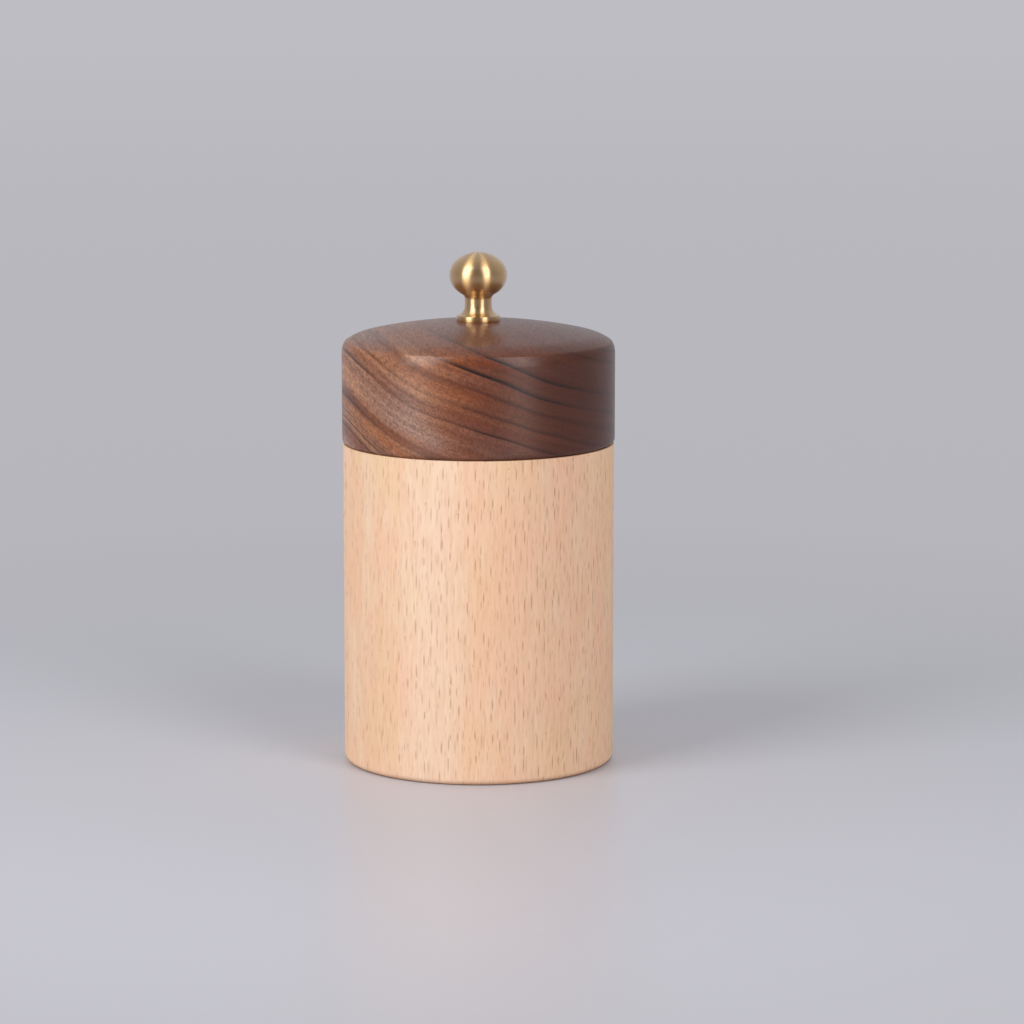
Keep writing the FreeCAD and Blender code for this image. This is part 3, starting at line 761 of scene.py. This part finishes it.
# %% Turn the knob
FLANGE_HEIGHT = 1.3
FLANGE_LEDGE = 0.25
FLANGE_RADIUS = 5.0
FLANGE_ROUND = 0.12
FLARE_RADIUS = 2.4
WAIST_RADIUS = 3.1
WAIST_LENGTH = 1.4
UNDER_RADIUS = 1.3
BALL_HEIGHT = 10.6
FLANK_ANGLE = 50.0
TAPPED_RADIUS = 2.05
TAPPED_DEPTH = 7.0


def turn_knob():
    low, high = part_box("knob")
    foot, top, half_width = low.z / MM, high.z / MM, high.x / MM
    ledge = foot + FLANGE_HEIGHT
    ledge_end = FLANGE_RADIUS - FLANGE_LEDGE
    flare_angle = math.acos(1 - (ledge_end - WAIST_RADIUS) / FLARE_RADIUS)
    waist_start = ledge + FLARE_RADIUS * math.sin(flare_angle)
    waist_end = waist_start + WAIST_LENGTH

    half_height = BALL_HEIGHT / 2
    flank = math.radians(FLANK_ANGLE)
    reach, rise = math.cos(flank), math.sin(flank)
    tight = (half_height * reach - half_width * (1 - rise)) / (reach + rise - 1)
    wide = (half_width * rise - half_height * (1 - reach)) / (reach + rise - 1)
    equator = top - half_height
    under_centre = equator - half_height + wide
    touch = math.atan2(under_centre - waist_end, -(WAIST_RADIUS + UNDER_RADIUS))
    under_sweep = math.degrees(math.pi - touch)

    mesh, tip = start_outline(0, foot + TAPPED_DEPTH)
    tip = straight(mesh, tip, TAPPED_RADIUS, foot + TAPPED_DEPTH)
    tip = straight(mesh, tip, TAPPED_RADIUS, foot)
    tip = straight(mesh, tip, FLANGE_RADIUS, foot)
    tip = straight(mesh, tip, FLANGE_RADIUS, ledge)
    tip = straight(mesh, tip, ledge_end, ledge)
    tip = swing(mesh, tip, WAIST_RADIUS + FLARE_RADIUS, waist_start, -math.degrees(flare_angle), 14)
    tip = straight(mesh, tip, WAIST_RADIUS, waist_end)
    tip = swing(mesh, tip, WAIST_RADIUS + UNDER_RADIUS, waist_end, -under_sweep, 10)
    tip = swing(mesh, tip, 0, under_centre, under_sweep - FLANK_ANGLE, 8)
    tip = swing(mesh, tip, half_width - tight, equator, 2 * FLANK_ANGLE, 24)
    swing(mesh, tip, 0, top - wide, 90 - FLANK_ANGLE, 14)
    spin_round(mesh)
    ease_ring(mesh, FLANGE_RADIUS, foot, FLANGE_ROUND, 2)
    ease_ring(mesh, FLANGE_RADIUS, ledge, FLANGE_ROUND, 3)
    print(f"ball: wide arc {wide:.2f} mm, tight arc {tight:.2f} mm")
    return mesh


finish_piece(turn_knob(), "brass_knob", "knob", "lid", brass)

# %% [markdown]
# ## The washer
#
# A wide washer spreads the screw's pull over the wood. It is punched from sheet, so the edges that the
# punch enters are drawn round, and the outer edge that it leaves is almost sharp.

# %% Punch the washer
WASHER_HOLE = 2.15
ENTRY_ROUND = 0.25
HOLE_ROUND = 0.15
EXIT_ROUND = 0.08


def make_washer():
    low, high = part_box("knob_washer")
    rim, bottom, top = high.x / MM, low.z / MM, high.z / MM
    mesh, tip = start_outline(WASHER_HOLE, bottom)
    for radius, height in ((rim, bottom), (rim, top), (WASHER_HOLE, top), (WASHER_HOLE, bottom)):
        tip = straight(mesh, tip, radius, height)
    spin_round(mesh)
    ease_ring(mesh, rim, bottom, ENTRY_ROUND, 4)
    ease_ring(mesh, WASHER_HOLE, bottom, HOLE_ROUND, 3)
    ease_ring(mesh, rim, top, EXIT_ROUND, 1)
    return mesh


finish_piece(make_washer(), "wide_washer", "knob_washer", "lid", zinc)

# %% [markdown]
# ## The screw
#
# The screw is a bought M4 with a pan head and a cross recess. Its thread is a real helix: the outline of
# one turn is spun with a rise per step, and the turns are merged where they meet. Two cuts square off its
# ends, and the holes that they leave are filled. The head is a second lathe shape. Booleans sink the
# cross into it and join it to the thread.

# %% Roll the thread
PITCH = 0.7
TURN_STEPS = 32
THREAD_MAJOR = 2.0
THREAD_MINOR = 1.6
# The outline of one turn: a radius, and the share of the pitch at which it is reached.
TURN_OUTLINE = (
    (THREAD_MINOR, 0.12),
    (THREAD_MAJOR, 0.44),
    (THREAD_MAJOR, 0.56),
    (THREAD_MINOR, 0.88),
    (THREAD_MINOR, 1.0),
)
# The helix starts a little over one turn below, so that no ring of its vertices lies in the plane of a cut.
TURNS_BELOW = 1.26


def roll_thread(bottom, top):
    """A rod with a thread between two heights, cut flat and closed at both ends."""
    start = bottom - TURNS_BELOW * PITCH
    mesh, tip = start_outline(THREAD_MINOR, start)
    for radius, share in TURN_OUTLINE:
        tip = straight(mesh, tip, radius, start + share * PITCH)
    turns = math.ceil((top - bottom) / PITCH) + 2
    bmesh.ops.spin(mesh, geom=mesh.verts[:] + mesh.edges[:], cent=(0, 0, 0), axis=(0, 0, 1),
                   dvec=(0, 0, PITCH * MM / TURN_STEPS), angle=math.tau * turns, steps=TURN_STEPS * turns)
    bmesh.ops.remove_doubles(mesh, verts=mesh.verts, dist=SAME_SPOT)
    for height, way in ((bottom, -1), (top, 1)):
        bmesh.ops.bisect_plane(mesh, geom=mesh.verts[:] + mesh.edges[:] + mesh.faces[:],
                               plane_co=(0, 0, height * MM), plane_no=(0, 0, way), clear_outer=True)
    rims = [edge for edge in mesh.edges if edge.is_boundary]
    bmesh.ops.holes_fill(mesh, edges=rims, sides=0)
    bmesh.ops.recalc_face_normals(mesh, faces=mesh.faces)
    print(f"thread: {turns} turns rolled, {(top - bottom) / PITCH:.1f} kept")
    return mesh


# %% Turn the head
HEAD_HEIGHT = 3.1
HEAD_ROUND = 1.6
BEARING_ROUND = 0.15


def turn_head(radius, crown, bearing):
    """A pan head that hangs from its bearing face, with its crown below."""
    mesh, tip = start_outline(0, crown)
    for reach, height in ((radius, crown), (radius, bearing), (0, bearing)):
        tip = straight(mesh, tip, reach, height)
    spin_round(mesh)
    ease_ring(mesh, radius, crown, HEAD_ROUND, 8)
    ease_ring(mesh, radius, bearing, BEARING_ROUND, 2)
    return mesh


# %% Shape the cross
CROSS_ARM = 1.1
CROSS_LENGTH = 4.6
CROSS_DEPTH = 1.8
CROSS_DRAW = (0.4, 0.75, 1.0)


def cross_bar(turn, crown):
    """One bar of the cross: a box whose deep end is drawn in."""
    bar = bmesh.new()
    corners = bmesh.ops.create_cube(bar, size=1.0)["verts"]
    bmesh.ops.scale(bar, verts=corners, vec=Vector((CROSS_LENGTH, CROSS_ARM, 2 * CROSS_DEPTH)) * MM)
    bmesh.ops.scale(bar, verts=[v for v in corners if v.co.z > 0], vec=CROSS_DRAW)
    bmesh.ops.rotate(bar, verts=corners, matrix=Matrix.Rotation(turn, 3, "Z"))
    bmesh.ops.translate(bar, verts=corners, vec=(0, 0, crown * MM))
    return bar


# %% Join the screw
THREAD_SUNK = 0.5
NO_LENGTH = 0.0005 * MM


def join_shapes(target, tools):
    """Applies booleans to the target, one for each (object, operation), and gives the result as a bmesh."""
    for tool, operation in tools:
        step = target.modifiers.new(operation, "BOOLEAN")
        step.object, step.operation, step.solver = tool, operation, "EXACT"
    result = bmesh.new()
    result.from_object(target, bpy.context.evaluated_depsgraph_get())
    bmesh.ops.dissolve_degenerate(result, dist=NO_LENGTH, edges=result.edges)
    for spent in [target] + [tool for tool, _ in tools]:
        bpy.data.objects.remove(spent)
    return result


def make_screw():
    low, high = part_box("knob_screw")
    crown, end, head_radius = low.z / MM, high.z / MM, high.x / MM
    bearing = crown + HEAD_HEIGHT
    thread = make_object(roll_thread(bearing - THREAD_SUNK, end), "thread")
    head = make_object(turn_head(head_radius, crown, bearing), "head")
    steps = []
    for quarter in range(2):
        bar = make_object(cross_bar(quarter * math.pi / 2, crown), f"bar_{quarter}")
        steps.append((bar, "DIFFERENCE"))
    return join_shapes(head, steps + [(thread, "UNION")])


finish_piece(make_screw(), "pan_screw", "knob_screw", "lid", zinc)

# %% [markdown]
# ## The card under the jar
#
# The jar stands on a sheet of pale grey-lilac card that runs out of view. Near the jar the card is lit
# like any surface, so it takes the jar's shadow. Further out it would fall off into the dark, so there
# the camera, and reflections, see the card's own pale tone instead.

# %% Lay the card
CARD_RADIUS = 12.0
LIT_REACH = (0.12, 0.36)
NEAR_TONE = (0.25, 0.8)
FAR_TONE = (0.8, 4.0)


def card_finish():
    material, tree, shader = new_finish("pale_card")
    spot = add(tree, "TexCoord")
    distance = add(tree, "VectorMath", {0: spot.outputs["Object"]}, operation="LENGTH").outputs["Value"]
    shader.inputs["Base Color"].default_value = srgb("#C6C5CC")
    shader.inputs["Roughness"].default_value = 0.36
    tone = glaze(tree, srgb("#B7B6BC"), distance, *NEAR_TONE, 1.0, "#B8B7BD", **SMOOTH)
    tone = glaze(tree, tone, distance, *FAR_TONE, 1.0, "#BEBDC3", **SMOOTH)
    glow = add(tree, "Emission", {"Color": tone, "Strength": 1.0})
    ray = add(tree, "LightPath")
    seen = add(tree, "Math", {0: ray.outputs["Is Camera Ray"], 1: ray.outputs["Is Glossy Ray"]},
               operation="MAXIMUM")
    seen = add(tree, "Math", {0: seen.outputs[0], 1: ray.outputs["Is Transmission Ray"]},
               operation="MAXIMUM")
    away = add(tree, "MapRange", {"Value": distance, "From Min": LIT_REACH[0], "From Max": LIT_REACH[1]},
               **SMOOTH)
    share = add(tree, "Math", {0: seen.outputs[0], 1: away.outputs[0]}, operation="MULTIPLY")
    mixed = add(tree, "MixShader", {0: share.outputs[0], 1: shader.outputs[0], 2: glow.outputs[0]})
    tree.links.new(mixed.outputs[0], tree.nodes["Material Output"].inputs["Surface"])
    return material


card = bmesh.new()
bmesh.ops.create_circle(card, cap_ends=True, segments=96, radius=CARD_RADIUS)
card = make_object(card, "card")
card.data.materials.append(card_finish())
card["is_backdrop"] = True
print(f"card: {CARD_RADIUS:.0f} m from its middle to its edge")

# %% [markdown]
# ## The light
#
# Two tall soft boxes stand in front of the jar, one to each side, and make the two bright streaks on the
# knob. The left one is the stronger. The rest of the room keeps the shadows open: a pale wall behind the
# jar, and a dimmer room behind the camera. The camera sees one even pale tone beyond the card.

# %% Set the room
WALL_WAY = (0, 0.8, 0.6)
ROOM_LEVEL, WALL_LEVEL = 0.08, 0.7


def room():
    world = bpy.data.worlds.new("studio")
    world.use_nodes = True
    tree = world.node_tree
    light = tree.nodes["Background"]
    light.inputs["Color"].default_value = srgb("#E6E7EC")
    way = add(tree, "TexCoord")
    towards = add(tree, "VectorMath", {0: way.outputs["Generated"], 1: WALL_WAY}, operation="DOT_PRODUCT")
    level = add(tree, "MapRange", {"Value": towards.outputs["Value"], "From Min": -0.7, "From Max": 0.9,
                                   "To Min": ROOM_LEVEL, "To Max": WALL_LEVEL})
    tree.links.new(level.outputs[0], light.inputs["Strength"])
    seen = add(tree, "Background", {"Color": srgb("#BEBDC3"), "Strength": 1.0})
    ray = add(tree, "LightPath")
    mixed = add(tree, "MixShader", {0: ray.outputs["Is Camera Ray"], 1: light.outputs[0],
                                    2: seen.outputs[0]})
    tree.links.new(mixed.outputs[0], tree.nodes["World Output"].inputs["Surface"])
    return world


bpy.context.scene.world = room()
print(f"room: from {ROOM_LEVEL} behind the camera to {WALL_LEVEL} behind the jar")

# %% Hang the soft boxes
AIM = Vector((0, 0, 0.065))


def soft_box(name, azimuth, elevation, distance, width, height, level):
    """A soft box seen from the jar at an azimuth to the right of the camera, and an elevation.

    A white card that faces it from the jar's place would render at the given level."""
    lamp = bpy.data.lights.new(name, "AREA")
    lamp.shape = "RECTANGLE"
    lamp.size, lamp.size_y = width, height
    lamp.energy = level * (math.pi * distance) ** 2
    box = bpy.data.objects.new(name, lamp)
    bpy.context.scene.collection.objects.link(box)
    side, up = math.radians(azimuth), math.radians(elevation)
    way = Vector((math.sin(side) * math.cos(up), -math.cos(side) * math.cos(up), math.sin(up)))
    box.location = AIM + distance * way
    box.rotation_euler = (-way).to_track_quat("-Z", "Y").to_euler()
    print(f"{name}: {lamp.energy:.2f} W")


soft_box("left box", azimuth=-51, elevation=28, distance=0.75, width=0.38, height=0.92, level=0.79)
soft_box("right box", azimuth=36, elevation=28, distance=0.75, width=0.3, height=0.92, level=0.53)

# %% [markdown]
# ## The camera
#
# The camera stands about 0.9 m away with a long lens and looks down by 9 degrees, which keeps the jar's
# sides upright and shows a little of the dome. A Standard view transform leaves the colours as they are
# written.

# %% Place the camera
CAMERA_PLACE = Vector((0.00767, -0.9071, 0.2035))
CAMERA_DOWN = 0.1598
SENSOR_WIDTH = 36.0
PICTURE_PIXELS = 1024
FOCAL_PIXELS = 4000

lens = bpy.data.cameras.new("camera")
lens.sensor_width = SENSOR_WIDTH
lens.lens = FOCAL_PIXELS / PICTURE_PIXELS * SENSOR_WIDTH
camera = bpy.data.objects.new("camera", lens)
camera.location = CAMERA_PLACE
camera.rotation_euler = (math.pi / 2 - CAMERA_DOWN, 0, 0)
bpy.context.scene.collection.objects.link(camera)
bpy.context.scene.camera = camera
bpy.context.scene.view_settings.view_transform = "Standard"
print(f"lens {lens.lens:.1f} mm, camera {camera.location.length:.2f} m away")

# %% [markdown]
# ## Print both boxes
#
# The dressed model must stay inside the imported model's box, so the sizes of both boxes are printed.

# %% Write both boxes
low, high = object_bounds()
sizes = {"cad": [list(cad_low), list(cad_high)], "visual": [list(low), list(high)]}
for name, (start, end) in sizes.items():
    print(name, [round((b - a) / MM, 2) for a, b in zip(start, end)])
